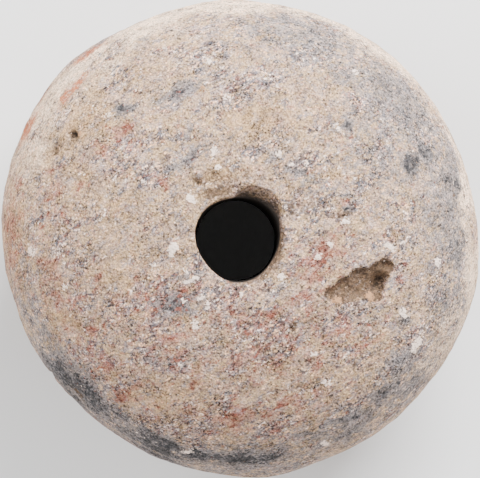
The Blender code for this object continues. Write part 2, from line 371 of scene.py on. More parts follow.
PALE_FLECKS = (
    (-5.25, -0.7, 0.75, 1.30, -15, 1.2),
    (-3.8, 3.3, 0.85, 0.80, 0, 1.2),
    (3.5, -2.9, 0.80, 0.95, -20, 0.9),
    (6.6, -1.35, 0.60, 0.70, 0, 1.0),
    (7.5, -0.3, 0.45, 0.50, 0, 1.0),
    (12.5, -0.5, 1.10, 0.50, -48, 1.0),
    (13.6, -5.9, 1.00, 0.65, -72, 1.0),
    (14.7, -8.5, 2.30, 0.80, 56, 0.8),
    (13.2, -10.8, 0.50, 0.40, 0, 0.8),
    (7.3, -11.7, 0.90, 0.70, 0, 0.7),
    (6.3, -9.3, 0.75, 0.28, 5, 0.9),
    (0.3, -4.5, 0.50, 0.50, 40, 0.9),
    (8.7, 1.45, 1.00, 0.45, 5, 0.9),
    (-1.95, 7.2, 0.45, 1.00, 0, 0.9),
    (-1.6, 5.9, 0.55, 0.45, 0, 1.0),
    (3.5, 7.1, 0.60, 0.50, 0, 0.9),
    (4.5, 6.2, 0.70, 0.40, 30, 0.8),
    (5.5, 6.3, 0.50, 0.60, 0, 0.7),
    (-3.5, -6.9, 0.75, 1.20, 10, 0.8),
    (-6.8, -2.1, 0.70, 0.40, 0, 0.9),
    (-3.9, -3.2, 2.00, 0.45, 18, 0.9),
    (-4.3, -2.5, 0.60, 0.40, 0, 0.9),
    (-3.0, -4.6, 0.90, 0.50, 40, 0.9),
    (-2.5, -5.2, 0.50, 0.70, 10, 0.8),
    (-4.4, -4.9, 0.35, 0.35, 0, 0.9),
    (-8.9, -8.0, 0.60, 0.45, 30, 0.7),
    (-4.8, -10.0, 0.50, 0.60, 0, 0.8),
    (-3.9, -11.1, 0.90, 0.28, 5, 0.7),
    (-4.15, -17.5, 0.90, 0.42, 5, 1.0),
    (-2.2, 14.6, 0.65, 0.65, 0, 0.7),
    (-10.6, 10.3, 1.00, 0.70, 20, 0.7),
    (-11.8, 10.9, 0.45, 0.45, 0, 0.6),
    (-16.9, -0.9, 0.90, 1.20, 0, 0.8),
    (-14.2, -3.8, 0.80, 0.60, 0, 0.7),
    (-14.6, -1.0, 1.60, 1.10, 10, 0.5),
    (16.4, -1.7, 0.80, 0.80, 0, 0.7),
    (7.3, -16.8, 1.10, 0.40, 25, 0.9),
    (8.4, 8.9, 1.10, 0.50, -35, 0.7),
    (9.6, 13.7, 0.80, 0.70, 0, 0.6),
)
TAN_GRAINS = (
    (10.9, -4.60, 0.80, 0.66, 20, 1.1),
    (8.1, -4.9, 0.85, 0.55, 10, 1.0),
    (-2.9, 12.4, 0.50, 0.40, 0, 0.8),
    (-12.9, 8.7, 0.45, 0.60, -20, 0.9),
)

# Chance patches on the half that the photograph hides: size, seed, noise where they start and
# where they are full, strength.
ROSE_STRAYS = (0.0030, 110, 0.25, 0.75, 0.75)
SLATE_STRAYS = (0.0036, 120, 0.20, 0.80, 0.66)
OCHRE_STRAYS = (0.0050, 130, 0.05, 0.70, 0.80)
UMBER_STRAYS = (0.0016, 140, 0.65, 0.95, 0.70)

# Colours as they look in the photograph's light, as red, green and blue from 0 to 255.
SAND = (205, 191, 168)
BEIGE = (203, 189, 177)
PALE_GREY = (187, 179, 179)
MAUVE_SPECK = (140, 121, 120)
BLUE_SPECK = (140, 143, 152)
BROWN_SPECK = (96, 76, 66)
CREAM_SPECK = (226, 212, 194)
WHITE_SPECK = (224, 219, 216)
ROSE = (194, 148, 131)
RUST = (174, 112, 90)
COOL_GREY = (177, 171, 170)
SLATE = (140, 138, 141)
DARK_SLATE = (72, 72, 76)
OCHRE = (203, 185, 151)
ORANGE = (200, 132, 62)
UMBER = (112, 88, 64)
TAN_EARTH = (160, 134, 106)
# painted shade: the dark brown of the gouge's deep end, the pits and the chip's foot
SHADE_BROWN = (50, 38, 29)
PALE_GRIT = (227, 222, 218)
TAN_GRAIN = (202, 178, 146)
# painted light: the paler tint of the flank on the lit side
LIT_FLANK = (221, 213, 203)
# painted shade: the dark colour of the pores
PORE_SHADE = (84, 73, 68)
# painted shade: the dark colour down the hole, where no light reaches
HOLE_SHADE = (92, 84, 78)
LIGHT_LEVEL = 2.9  # the light that leaves a white face lying flat

# The photograph's view: almost straight down, from a little to the left of the hole's axis.
CAMERA_TARGET = (0.00036, 0.00013, BELLY_HEIGHT)
CAMERA_DISTANCE = 0.40
CAMERA_LEAN = 0.8
CAMERA_AZIMUTH = 183.0
VIEW_WIDTH = 0.04033
SENSOR_WIDTH = 36.0

# Specks all over the clay: size mm, field, level needed, how much busy clay adds, share, colour.
GROUND_SPECKS = (
    (0.55, 0.017, 0.632, 0.130, 0.80, MAUVE_SPECK),
    (0.36, 0.031, 0.655, 0.120, 0.78, BLUE_SPECK),
    (0.26, 0.021, 0.668, 0.045, 0.72, BROWN_SPECK),
    (0.26, 0.023, 0.600, 0.020, 0.70, CREAM_SPECK),
    (0.34, 0.043, 0.655, 0.070, 0.72, WHITE_SPECK),
    (0.42, 0.137, 0.650, 0.060, 0.55, RUST),
    (0.70, 0.139, 0.610, 0.000, 0.55, OCHRE),
)
STROKE = (1.5, 35.0)  # how long the clay's specks are for their width, and their direction

GRAIN_SIZE = 0.17  # mm, of the grain that shows in the colour and in the relief
PORE_SPACING = 0.75  # mm
GRAIN_RELIEF = 0.000110
LUMP_RELIEF = 0.000160
PORE_DEPTH = 0.000040
CLAY_ROUGHNESS = 0.84
ROUGHNESS_SWING = 0.12
CLAY_SHEEN = 0.25

FLOOR_SIZE = 3.0
FLOOR_COLOUR = (0.88, 0.88, 0.88, 1.0)
FLOOR_ROUGHNESS = 0.9
FLOOR_SHEEN = 0.1

# Square soft lights: name, azimuth and height angle in degrees, size, watts.
LIGHTS = (
    ("key", 66, 36, 0.36, 11.6),
    ("right", 335, 36, 0.40, 1.1),
    ("left", 162, 36, 0.40, 3.5),
    ("front", 268, 48, 0.40, 0.4),
    ("rim", 46, 8, 0.40, 2.8),
)
LIGHT_DISTANCE = 0.60
ROOM_LEVEL = 0.60


def smooth_step(value):
    """0 below 0, 1 above 1, and the curve 3v^2 - 2v^3 between."""
    share = np.clip(value, 0.0, 1.0)
    return share * share * (3 - 2 * share)


def lattice_noise(points, cell, seed):
    """Random values on a cubic lattice, blended with smooth steps along x, y and z, from -1 to 1."""
    table = np.random.default_rng(seed).uniform(-1, 1, (32, 32, 32))
    scaled = points / cell
    corner = np.floor(scaled).astype(int)
    weight = smooth_step(scaled - corner)
    total = np.zeros(points.shape[:-1])
    for step in np.ndindex(2, 2, 2):
        index = (corner + step) % 32
        share = np.prod(np.where(np.array(step) == 1, weight, 1 - weight), axis=-1)
        total += share * table[index[..., 0], index[..., 1], index[..., 2]]
    return total


def layered_noise(points, cell, layers, seed):
    """Lattice noise with half the cell and 0.55 of the height in each further layer."""
    total = 0
    for layer in range(layers):
        total = total + 0.55**layer * lattice_noise(points, cell / 2**layer, seed + layer)
    return total


def direction_of(azimuth, height_angle):
    """Unit vector from two angles in degrees."""
    around, up = math.radians(azimuth), math.radians(height_angle)
    flat = math.cos(up)
    return np.array([math.cos(around) * flat, math.sin(around) * flat, math.sin(up)])


def superellipse_share(radius):
    """(1 - (r/R)^p)^(1/p): the superellipse's height at this radius, as a share."""
    return (1 - np.minimum(radius / BODY_RADIUS, 1.0) ** FULLNESS) ** (1 / FULLNESS)


UPPER_RISE = (BODY_HEIGHT - BELLY_HEIGHT) / superellipse_share(TOP_HOLE_RADIUS + LIP_RADIUS)
LOWER_RISE = BELLY_HEIGHT / superellipse_share(BASE_RADIUS)


def chip_share(azimuth):
    """0 off the chip and 1 along its middle, by azimuth: one steep and one long smooth step."""
    turn = (azimuth + 180) % 360 - 180
    rise = smooth_step((CHIP_LEFT - turn) / CHIP_LEFT_SPAN)
    return rise * smooth_step((turn - CHIP_RIGHT) / CHIP_RIGHT_SPAN)


def lip_width(azimuth):
    """The mouth's worn edge: from crisp to wide by a half cosine, and crisp again at the chip."""
    worn = (1 + np.cos(np.radians(azimuth - WORN_AZIMUTH))) / 2
    return CRISP_LIP + (WORN_LIP - CRISP_LIP) * worn * (1 - 0.8 * chip_share(azimuth))


def mouth_growth(azimuth, depth):
    """How much wider the hole is than its taper, by azimuth in degrees and depth.

    The hand-pierced outline adds a cosine for each wave and takes off LIP_INWARDS of the worn
    edge, and both die out down the wall. The chip grows by CHIP_WIDTH times its share, and falls
    away in a curved slope down to CHIP_DEPTH.
    """
    waves = sum(size * np.cos(np.radians(count * azimuth - phase)) for count, size, phase in HOLE_WAVES)
    outline = (waves - LIP_INWARDS * lip_width(azimuth)) * np.exp(-((depth / WAVE_DEPTH) ** 2))
    slope = np.clip(1 - depth / CHIP_DEPTH, 0, 1) ** 1.3
    return outline + CHIP_WIDTH * chip_share(azimuth) * slope


def taper_radius(height):
    """The hole's radius at this height: two straight tapers that meet at the waist."""
    above = (height - WAIST_HEIGHT) / (BODY_HEIGHT - LIP_RADIUS - WAIST_HEIGHT)
    below = (WAIST_HEIGHT - height) / (WAIST_HEIGHT - LIP_RADIUS)
    wider_above = (TOP_HOLE_RADIUS - WAIST_HOLE_RADIUS) * np.clip(above, 0, 1)
    wider_below = (BASE_HOLE_RADIUS - WAIST_HOLE_RADIUS) * np.clip(below, 0, 1)
    return WAIST_HOLE_RADIUS + wider_above + wider_below


def dome_stretch(rise, edge_radius, rows, upwards):
    """A dome from the belly to edge_radius: radius R cos(a)^(2/p), height rise sin(a)^(2/p)."""
    edge_angle = np.arccos((edge_radius / BODY_RADIUS) ** (FULLNESS / 2))
    share = np.linspace(0, 1, rows + 1)[:, None]
    angle = edge_angle * share
    radius = BODY_RADIUS * np.cos(angle) ** (2 / FULLNESS)
    height = rise * np.sin(angle) ** (2 / FULLNESS)
    return radius, BELLY_HEIGHT + height if upwards else BELLY_HEIGHT - height


def lip_stretch(hole_radius, width, face_height, drop):
    """A mouth's worn edge: a quarter ellipse, width across and drop from the face into the wall."""
    angle = np.linspace(0, math.pi / 2, LIP_ROWS + 1)[1:, None]
    return hole_radius + width * (1 - np.sin(angle)), face_height + drop * (1 - np.cos(angle))


def turned_form(azimuth):
    """The closed section at each azimuth: out along the base, over the body, down the wall."""
    ones = np.ones_like(azimuth)
    base_share = np.linspace(0, 1, BASE_ROWS, endpoint=False)[:, None]
    inner = BASE_HOLE_RADIUS + LIP_RADIUS
    base = (inner + (BASE_RADIUS - inner) * base_share) * ones, 0 * base_share * ones
    lower_radius, lower_height = dome_stretch(LOWER_RISE, BASE_RADIUS * ones, LOWER_ROWS, False)
    hole_radius = TOP_HOLE_RADIUS + mouth_growth(azimuth, 0.0)
    lip = lip_width(azimuth)
    upper_radius, upper_height = dome_stretch(UPPER_RISE, hole_radius + lip, UPPER_ROWS, True)
    edge_radius, edge_height = lip_stretch(hole_radius, lip, upper_height[-1], -LIP_STEEPNESS * lip)
    share = (np.arange(1, WALL_ROWS + 1) / (WALL_ROWS + 1))[:, None] ** 1.7
    top = edge_height[-1]
    wall_height = top + (LIP_RADIUS - top) * share
    wall_radius = taper_radius(wall_height) + mouth_growth(azimuth, top - wall_height)
    foot_radius, foot_height = lip_stretch(BASE_HOLE_RADIUS * ones, LIP_RADIUS, 0.0, LIP_RADIUS)
    radius = [base[0], lower_radius[::-1], upper_radius[1:], edge_radius, wall_radius, foot_radius[::-1]]
    height = [base[1], lower_height[::-1], upper_height[1:], edge_height, wall_height, foot_height[::-1]]
    return np.concatenate(radius), np.concatenate([h + 0 * azimuth for h in height])


def press(points):
    """The turned form shifted off the hole, then moved out or in by each press.

    A press is its height times exp(-(angle / reach)^2), where angle is that between the point
    and the press's middle as seen from the belly's centre.
    """
    centre = np.array([0, 0, BELLY_HEIGHT])
    from_centre = points - centre
    direction = from_centre / np.linalg.norm(from_centre, axis=-1, keepdims=True)
    shift = np.zeros(points.shape[:-1])
    for azimuth, height_angle, reach, stands_out in SWELLS_AND_PRESSES:
        cosine = np.clip(direction @ direction_of(azimuth, height_angle), -1, 1)
        shift += stands_out * np.exp(-((np.degrees(np.arccos(cosine)) / reach) ** 2))
    off_hole = np.hypot(points[..., 0], points[..., 1]) - TOP_HOLE_RADIUS - LIP_RADIUS
    off_share = smooth_step(off_hole / FADE_REACH)
    fade = smooth_step(points[..., 2] / FADE_HEIGHT) * off_share
    return points + direction * (shift * fade)[..., None] + BODY_OFFSET * off_share[..., None]


def grid_normals(points):
    """Unit cross product of the steps along the two ways of the closed grid."""
    along = np.roll(points, -1, axis=0) - np.roll(points, 1, axis=0)
    around = np.roll(points, -1, axis=1) - np.roll(points, 1, axis=1)
    normal = np.cross(around, along)
    return normal / np.maximum(np.linalg.norm(normal, axis=-1, keepdims=True), 1e-12)


def mark_distance(points, x_mm, y_mm, length_mm, width_mm, direction):
    """Distance in plan from a mark's middle, where 1 is the edge of its ellipse."""
    turn = math.radians(direction)
    x = points[..., 0] / MM - x_mm
    y = points[..., 1] / MM - y_mm
    along = (x * math.cos(turn) + y * math.sin(turn)) / (length_mm / 2)
    across = (y * math.cos(turn) - x * math.sin(turn)) / (width_mm / 2)
    return np.hypot(along, across)


def upper_share(points):
    """1 on the half of the skin that is seen from above, 0 below the belly and in the hole."""
    off_hole = np.hypot(points[..., 0], points[..., 1]) - TOP_HOLE_RADIUS + 0.0002
    return smooth_step((points[..., 2] - BELLY_HEIGHT + 0.003) / 0.002) * (off_hole > 0)


def crown_height(x_mm, y_mm):
    """The dome's height over a place in plan, from the superellipse, and not below the rim's."""
    radius = math.hypot(x_mm * MM - BODY_OFFSET[0], y_mm * MM - BODY_OFFSET[1])
    return BELLY_HEIGHT + UPPER_RISE * max(float(superellipse_share(radius)), RIM_SHARE)


def painted(points, marks, sharpness, spread=1.0):
    """The strongest of the marks' bell curves, strength times exp(-distance^sharpness).

    The distance also counts the height off the mark's own place, so that no mark runs down
    the flank. A smaller spread lets it run down less.
    """
    total = np.zeros(points.shape[:-1])
    for x_mm, y_mm, length_mm, width_mm, direction, strength in marks:
        distance = mark_distance(points, x_mm, y_mm, length_mm, width_mm, direction)
        reach = MM * spread * (1.6 + 0.35 * (length_mm + width_mm))
        drop = (points[..., 2] - crown_height(x_mm, y_mm)) / reach
        total = np.maximum(total, strength * np.exp(-(np.hypot(distance, drop) ** sharpness)))
    return total * upper_share(points)


def gouge_inside(points):
    """How far inside the gouge's ragged outline a point is, in mm.

    It is the most that any hollow gives: (1 - distance) times half the hollow's width.
    """
    rag = np.stack([layered_noise(points, 0.0010, 3, seed) for seed in (40, 45, 50)], axis=-1)
    moved = points + 0.00016 * rag
    inside = np.full(points.shape[:-1], -9.0)
    for x_mm, y_mm, length_mm, width_mm, direction in GOUGE_HOLLOWS:
        distance = mark_distance(moved, x_mm, y_mm, length_mm, width_mm, direction)
        inside = np.maximum(inside, (1 - distance) * min(length_mm, width_mm) / 2)
    return inside


def gouge_relief(points):
    """Depth of the gouge: a rough floor that sinks to the right, and a pocket in its deep end.

    The floor is a smooth step down from the edge, plus a slower one that grows along the gouge,
    plus noise. The pocket is exp(-distance^3) round its middle.
    """
    inside = gouge_inside(points)
    share = np.clip((points[..., 0] / MM - GOUGE_LEFT) / GOUGE_LENGTH, 0, 1)
    floor = GOUGE_STEP * smooth_step(inside / 0.26) + GOUGE_SINK * share * smooth_step(inside / 0.9)
    floor = floor + GOUGE_ROUGH * layered_noise(points, 0.0006, 2, 55) * smooth_step(inside / 0.4)
    x = (points[..., 0] / MM - GOUGE_POCKET[0]) / 1.00
    y = (points[..., 1] / MM - GOUGE_POCKET[1]) / 0.80
    pocket = POCKET_SINK * np.exp(-(np.hypot(x - 0.3 * y, y) ** 3)) * smooth_step(inside / 0.3)
    return -GOUGE_DEPTH * (floor + pocket) * upper_share(points)


def hollow_relief(points):
    """Named pits and dents: each sinks by its depth in mm times exp(-distance^3)."""
    warp = 0.00010 * layered_noise(points, 0.0006, 2, 60)[..., None]
    moved = points + warp
    total = np.zeros(points.shape[:-1])
    for marks in (PITS, DENTS):
        for x_mm, y_mm, length_mm, width_mm, direction, depth_mm in marks:
            distance = mark_distance(moved, x_mm, y_mm, length_mm, width_mm, direction)
            total -= depth_mm * MM * np.exp(-(distance**3))
    return total * upper_share(points)


def grit_relief(points):
    """Pale flecks and tan grains stand a little proud of the clay."""
    flecks = painted(points, PALE_FLECKS, 4)
    grains = painted(points, TAN_GRAINS, 4)
    return FLECK_HEIGHT * flecks + GRAIN_HEIGHT * grains


def scrape_relief(points, azimuth, radius):
    """Faint grooves round the flank: noise stretched along the circumference."""
    around = np.radians(azimuth)
    height = points[..., 2]
    ones = np.ones_like(height)
    rounds = [np.cos(around) * 0.012 * ones, np.sin(around) * 0.012 * ones, height * 3]
    on_flank = smooth_step((radius - SCRAPE_START) / 0.002)
    return SCRAPE_DEPTH * on_flank * layered_noise(np.stack(rounds, axis=-1), 0.0022, 3, 70)


def lump_relief(points):
    """The clay's own unevenness: the sum of the LUMPS, each a height times layered noise."""
    return sum(height * layered_noise(points, cell, layers, seed) for cell, height, layers, seed in LUMPS)


def skin_points():
    """The finished skin: pressed form plus all relief along the normals, never under the floor."""
    azimuth = np.linspace(0, 360, COLUMNS, endpoint=False)
    radius, height = turned_form(azimuth)
    around = np.radians(azimuth)
    turned = np.stack([radius * np.cos(around), radius * np.sin(around), height], axis=-1)
    pressed = press(turned)
    normal = grid_normals(pressed)
    relief = lump_relief(pressed) + scrape_relief(pressed, azimuth, radius)
    relief = relief + hollow_relief(pressed) + gouge_relief(pressed) + grit_relief(pressed)
    off_floor = smooth_step(pressed[..., 2] / 0.0015)
    in_hole = smooth_step((BODY_HEIGHT - pressed[..., 2]) / 0.001) * (radius < 0.0038)
    relief = relief * off_floor * (1 - 0.4 * in_hole)
    points = pressed + normal * relief[..., None]
    points[..., 2] = np.maximum(points[..., 2], 0.0)
    return points, pressed


def skin_mesh(points):
    """A closed grid of quads: each row joins the next, and the last joins the first."""
    rows, columns = points.shape[:2]
    index = np.arange(rows * columns).reshape(rows, columns)
    next_row = np.roll(index, -1, axis=0)
    quads = np.stack(
        [index, np.roll(index, -1, axis=1), np.roll(next_row, -1, axis=1), next_row], axis=-1
    ).reshape(-1, 4)
    mesh = bpy.data.meshes.new("whorl_skin")
    mesh.from_pydata(points.reshape(-1, 3), [], quads)
    mesh.shade_smooth()
    return mesh


def add_attribute(mesh, name, channels):
    """Up to three fields of 0 to 1 on the mesh's points, as one colour attribute."""
    attribute = mesh.attributes.new(name, "FLOAT_COLOR", "POINT")
    values = np.ones((len(mesh.vertices), 4), dtype=np.float32)
    for place, channel in enumerate(channels):
        values[:, place] = np.clip(channel, 0, 1).ravel()
    attribute.data.foreach_set("color", values.ravel())


def hidden_share(points):
    """1 on the flank's lower half and the underside, and 0 on the crown that the photograph shows."""
    return smooth_step((BELLY_HEIGHT + 0.0040 - points[..., 2]) / 0.0045)


def sunny_side(points):
    """From 0.15 on the front left to 1 on the back right, by a smooth step of the azimuth's cosine."""
    azimuth = np.arctan2(points[..., 1], points[..., 0])
    return 0.15 + 0.85 * smooth_step(0.5 + 0.9 * np.cos(azimuth - math.radians(65)))


def rim_share(points, start, width):
    """From 0 at start to 1 at start plus width, by the wandering distance from the body's axis."""
    from_middle = points - BODY_OFFSET
    radius = np.hypot(from_middle[..., 0], from_middle[..., 1])
    wander = 0.0012 * layered_noise(points, 0.0034, 3, 170)
    return smooth_step((radius + wander - start) / width)


def calm_and_lit_share(points):
    """Up to 1 on the flank behind and to the right, 0 on the crown.

    There the clay is smoother, with fewer specks, and paler as painted light on the lit side.
    """
    broken = smooth_step(0.9 + 1.1 * layered_noise(points, 0.0040, 3, 180))
    broken = broken * (1 - 0.6 * smooth_step((0.0150 - points[..., 2]) / 0.0060))
    return rim_share(points, 0.0176, 0.0020) * sunny_side(points) * broken


def flank_streaks(points):
    """Noise drawn out along the circumference, from -1 to 1."""
    azimuth = np.arctan2(points[..., 1], points[..., 0])
    rounds = [np.cos(azimuth) * 0.010, np.sin(azimuth) * 0.010, points[..., 2] * 1.7]
    return layered_noise(np.stack(rounds, axis=-1), 0.0024, 3, 125)


def with_strays(field, points, hidden, strays):
    """The field, and on the hidden half chance patches where layered noise passes low to high."""
    cell, seed, low, high, strength = strays
    patches = smooth_step((layered_noise(points, cell, 3, seed) - low) / (high - low))
    return np.maximum(field, strength * hidden * patches)


def gouge_share(points):
    """1 inside the gouge, for its brown lining, and paler near its left end."""
    share = np.clip((points[..., 0] / MM - GOUGE_LEFT) / GOUGE_LENGTH, 0, 1)
    return smooth_step((gouge_inside(points) + 0.06) / 0.30) * (0.80 + 0.20 * share) * upper_share(points)


def gouge_shade_share(points):
    """Painted shade: 1 in the gouge's deep end, and less along its ragged edge and its left end.

    Along the edge it is partly painted shadow and partly dark specks.
    """
    inside = gouge_inside(points)
    x = (points[..., 0] / MM - GOUGE_POCKET[0]) / 0.95
    y = (points[..., 1] / MM - GOUGE_POCKET[1]) / 0.75
    pocket = 0.62 * np.exp(-(np.hypot(x - 0.3 * y, y) ** 2.4)) * smooth_step(inside / 0.2)
    patchy = smooth_step(0.5 + 1.2 * layered_noise(points, 0.0007, 2, 57))
    edge = 0.75 * np.exp(-(((inside - 0.08) / 0.10) ** 2)) * patchy
    end = 0.85 * np.exp(-(((points[..., 0] / MM - GOUGE_LEFT - 0.05) / 0.12) ** 2)) * (inside > -0.1)
    return np.maximum(np.maximum(pocket, edge), end) * upper_share(points)


def chip_dirt_and_shade(points):
    """From 0 at the chip's rim to 1 at its foot, for its umber dirt and its painted shade."""
    azimuth = np.degrees(np.arctan2(points[..., 1], points[..., 0]))
    near = np.hypot(points[..., 0], points[..., 1]) < TOP_HOLE_RADIUS + CHIP_WIDTH + 0.0006
    down = smooth_step((BODY_HEIGHT - 0.0001 - points[..., 2]) / 0.0016)
    return near * chip_share(azimuth) * down


def lip_shade(points):
    """Painted shade on the mouth's worn edge: from 0.75 at the hole to 0 at its width outside it."""
    outside = np.hypot(points[..., 0], points[..., 1]) - TOP_HOLE_RADIUS
    worn = (1 + np.cos(np.arctan2(points[..., 1], points[..., 0]) - math.radians(WORN_AZIMUTH))) / 2
    near_top = points[..., 2] > BODY_HEIGHT - 0.002
    return 0.75 * near_top * worn * smooth_step(1 - outside / LIP_DIRT_WIDTH)


def hole_shade_share(points):
    """Painted shade: from 0 at the mouth to 1 where no light reaches down the hole."""
    inside = np.hypot(points[..., 0], points[..., 1]) < 0.0050
    top = smooth_step((BODY_HEIGHT - 0.0002 - points[..., 2]) / 0.0016)
    off_base = smooth_step(points[..., 2] / 0.0012)
    return inside * top * off_base


def paint(mesh, points):
    """The fields that the material mixes its colours by, as four attributes.

    patches holds rose, slate and ochre, with painted shade in the slate along the lower left rim.
    The second attribute holds orange, umber with painted shade on the mouth's worn edge, and
    painted shade in the gouge, the pits and at the chip's foot. The third holds flecks, grains
    and painted shade down the hole by its depth, and washes holds wash, rings and the smoother
    flank with painted light on its lit side. The marks are looked up at points moved by noise,
    so that their edges wander.
    """
    warp = np.stack([layered_noise(points, 0.0012, 3, seed) for seed in (80, 90, 100)], axis=-1)
    warped = points + 0.00030 * warp
    hidden = hidden_share(points)
    rose = with_strays(painted(warped, ROSE_PATCHES, 2), points, hidden, ROSE_STRAYS)
    # slate, and painted shade along the lower left rim
    slate_and_shade = painted(warped, SLATE_AND_SHADE_PATCHES, 2)
    # painted light: the rim on the lit side is kept pale, clear of slate
    slate_and_shade = slate_and_shade * (1 - 0.92 * rim_share(points, 0.0180, 0.0016) * sunny_side(points))
    slate_and_shade = slate_and_shade * (1 + 0.42 * rim_share(points, 0.0160, 0.0025) * flank_streaks(points))
    slate_and_shade = with_strays(slate_and_shade, points, hidden, SLATE_STRAYS)
    ochre = with_strays(painted(warped, OCHRE_PATCHES, 2), points, hidden, OCHRE_STRAYS)
    add_attribute(mesh, "patches", (rose, slate_and_shade, ochre))
    orange = painted(points + 0.00020 * warp, ORANGE_STREAKS, 2, 0.7)
    umber = painted(points + 0.00012 * warp, UMBER_STAINS, 2)
    umber = np.maximum(umber, gouge_share(points))
    umber = with_strays(umber, points, hidden, UMBER_STRAYS)
    scoop = chip_dirt_and_shade(points)
    # painted shade on the mouth's worn edge joins the umber
    umber = np.maximum(np.maximum(umber, lip_shade(points)), CHIP_DIRT * smooth_step(scoop * 4))
    # painted shade: the gouge's deep end, its edge and left end, and the pits
    dark = np.maximum(gouge_shade_share(points), painted(points, PITS, 3) * 2.5)
    # painted shade at the chip's foot
    dark = np.maximum(dark, CHIP_SHADE * scoop)
    add_attribute(mesh, "stains_and_shade", (orange, umber, dark))
    frayed = np.stack([layered_noise(points, 0.0005, 2, seed) for seed in (82, 92, 102)], axis=-1)
    flecks = painted(points + 0.00018 * frayed, PALE_FLECKS, 2)
    grains = painted(points, TAN_GRAINS, 2)
    # the third channel is painted shade down the hole
    add_attribute(mesh, "grit_and_hole_shade", (flecks, grains, hole_shade_share(points)))
    wash = 0.30 + 0.35 * layered_noise(points, 0.0030, 3, 150)
    wash = wash + 0.55 * np.maximum(painted(warped, BUSY_PATCHES, 2), 0.5 * hidden)
    azimuth = np.arctan2(points[..., 1], points[..., 0])
    radius = np.hypot(points[..., 0], points[..., 1])
    rings = np.stack([np.cos(azimuth) * 0.006, np.sin(azimuth) * 0.006, radius * 2.2], axis=-1)
    streaks = 0.5 + 0.5 * layered_noise(rings, 0.0016, 3, 160)
    # the third channel: the smoother flank, with painted light on its lit side
    add_attribute(mesh, "washes", (wash, streaks, calm_and_lit_share(points)))


def clay_rgb(colour):
    """A look colour as the clay's own linear colour, with the light's level taken out.

    The picture's tone curve shows a light of 0.217 (c / (255 - c))^1.25 as c.
    """
    return (*[0.217 * (c / (255 - c)) ** 1.25 / LIGHT_LEVEL for c in colour], 1.0)


class Shading:
    """Short ways to add nodes to one material and join them up."""

    def __init__(self, material):
        self.tree = material.node_tree
        self.place = self.node("ShaderNodeTexCoord").outputs["Object"]

    def node(self, kind):
        return self.tree.nodes.new(kind)

    def join(self, value, socket):
        if isinstance(value, bpy.types.NodeSocket):
            self.tree.links.new(value, socket)
        else:
            socket.default_value = value

    def maths(self, operation, first, second):
        node = self.node("ShaderNodeMath")
        node.operation = operation
        self.join(first, node.inputs[0])
        self.join(second, node.inputs[1])
        return node.outputs[0]

    def raised(self, value, field, gain):
        """value + gain * field."""
        return self.maths("ADD", value, self.maths("MULTIPLY", field, gain))

    def swing(self, noise, gain):
        """gain * (noise - 0.5), which swings round 0."""
        return self.maths("MULTIPLY", self.maths("SUBTRACT", noise, 0.5), gain)

    def ramp(self, value, low, high):
        """0 where value is low or less, 1 where it is high or more, with a smooth step."""
        node = self.node("ShaderNodeMapRange")
        node.interpolation_type = "SMOOTHSTEP"
        self.join(value, node.inputs["Value"])
        node.inputs["From Min"].default_value = low
        node.inputs["From Max"].default_value = high
        return node.outputs["Result"]

    def noise(self, size_mm, detail, roughness, shift, stroke=(1.0, 0.0)):
        """Noise with features of about size_mm, from 0 to 1. Each shift gives another field.

        A stroke makes the features longer by its first number, along its direction in degrees.
        """
        node = self.node("ShaderNodeTexNoise")
        place = self.node("ShaderNodeMapping")
        place.vector_type = "TEXTURE"
        place.inputs["Location"].default_value = (shift, 2 * shift, 3 * shift)
        place.inputs["Rotation"].default_value = (0, 0, math.radians(stroke[1]))
        place.inputs["Scale"].default_value = (stroke[0], 1, 1)
        self.join(self.place, place.inputs["Vector"])
        self.join(place.outputs[0], node.inputs["Vector"])
        node.inputs["Scale"].default_value = 1000 / size_mm
        node.inputs["Detail"].default_value = detail
        node.inputs["Roughness"].default_value = roughness
        return node.outputs["Fac"]

    def cells(self, size_mm, shift):
        """Distance from the nearest of the points scattered about size_mm apart, as a share of it."""
        node = self.node("ShaderNodeTexVoronoi")
        place = self.node("ShaderNodeMapping")
        place.inputs["Location"].default_value = (shift, 2 * shift, 3 * shift)
        self.join(self.place, place.inputs["Vector"])
        self.join(place.outputs[0], node.inputs["Vector"])
        node.inputs["Scale"].default_value = 1000 / size_mm
        return node.outputs["Distance"]

    def field(self, name):
        """The three channels of one of the mesh's fields."""
        node = self.node("ShaderNodeAttribute")
        node.attribute_name = name
        parts = self.node("ShaderNodeSeparateColor")
        self.join(node.outputs["Color"], parts.inputs["Color"])
        return parts.outputs["Red"], parts.outputs["Green"], parts.outputs["Blue"]

    def mix(self, amount, below, above, kind="MIX"):
        node = self.node("ShaderNodeMix")
        node.data_type = "RGBA"
        node.blend_type = kind
        self.join(amount, node.inputs["Factor"])
        self.join(below, node.inputs["A"])
        self.join(above, node.inputs["B"])
        return node.outputs["Result"]


def specks(shade, size_mm, shift, needed, fields=()):
    """Specks where fine noise, raised by each field times its gain, passes what is needed."""
    grain = shade.noise(size_mm, 2.0, 0.65, shift, STROKE)
    for field, gain in fields:
        grain = shade.raised(grain, field, gain)
    return shade.ramp(grain, needed, needed + 0.07)


def tinted(shade, colour, amount, share, tint):
    """The colour mixed towards a tint where amount is, by at most share."""
    return shade.mix(shade.maths("MULTIPLY", amount, share), colour, clay_rgb(tint))


def zone(shade, field, size_mm, shift, low, high):
    """A painted field with a ragged edge: it shows where field plus noise passes from low to high."""
    swing = shade.swing(shade.noise(size_mm, 3.0, 0.75, shift, STROKE), 2.6)
    edge = shade.ramp(shade.maths("ADD", field, swing), low, high)
    return shade.maths("MULTIPLY", edge, shade.ramp(field, 0.0, 0.10))


